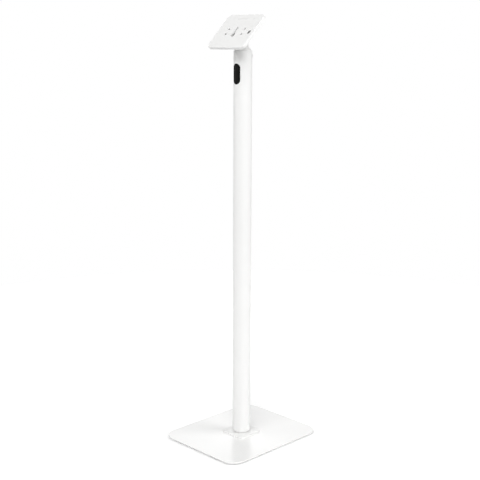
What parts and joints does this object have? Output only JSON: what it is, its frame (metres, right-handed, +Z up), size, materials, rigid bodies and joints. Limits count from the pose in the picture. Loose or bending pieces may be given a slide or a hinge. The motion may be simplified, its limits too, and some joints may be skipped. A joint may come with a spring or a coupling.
{
  "type": "tablet floor stand",
  "caption": "Slim floor stand for a tablet enclosure: round pole on a flat rounded base plate, hollow for the cable, with a mount plate that tilts at the top.",
  "frame": {"origin": "on the floor, at the middle of the base plate, on the pole's axis", "axes": "+Z up along the pole; -Y towards the person who uses it, which is the side that the cable port and the mount plate face; +X to that person's right"},
  "size_m": [0.288, 0.345, 1.1782],
  "materials": {
    "white_gloss_coat": "gloss powder coat on steel",
    "white_coat": "satin powder coat on steel",
    "white_screw": "white lacquered screw head",
    "black_rubber": "matt moulded rubber",
    "black_plastic": "fine-grained moulded plastic",
    "bare_aluminium": "turned",
    "zinc_steel": "bright zinc plate",
    "natural_nylon": "natural nylon sheet"
  },
  "bodies": {
    "stand": {"base_plate": "white_gloss_coat", "base_feet": "black_rubber", "foot_flange": "white_coat", "foot_plug": "white_coat", "base_screws": "zinc_steel", "pole_tube": "white_coat", "port_grommet": "black_rubber", "port_cover": "black_plastic", "top_plug": "bare_aluminium", "plug_screws": "white_screw", "neck_washer": "zinc_steel", "ring_nut": "zinc_steel", "pole_cap": "white_coat", "neck_post": "white_coat", "neck_bushing": "black_plastic", "friction_washers": "natural_nylon", "spring_washers": "zinc_steel", "pivot_screws": "zinc_steel"},
    "head": {"tilt_bracket": "white_coat", "mount_plate": "white_coat", "plate_back": "white_coat"}
  },
  "joints": [
    {"name": "head_tilt", "type": "hinge", "parent": "stand", "child": "head", "pos_m": [0, 0, 1.12], "axis": [1, 0, 0], "range_deg": [-30, 30]}
  ]
}
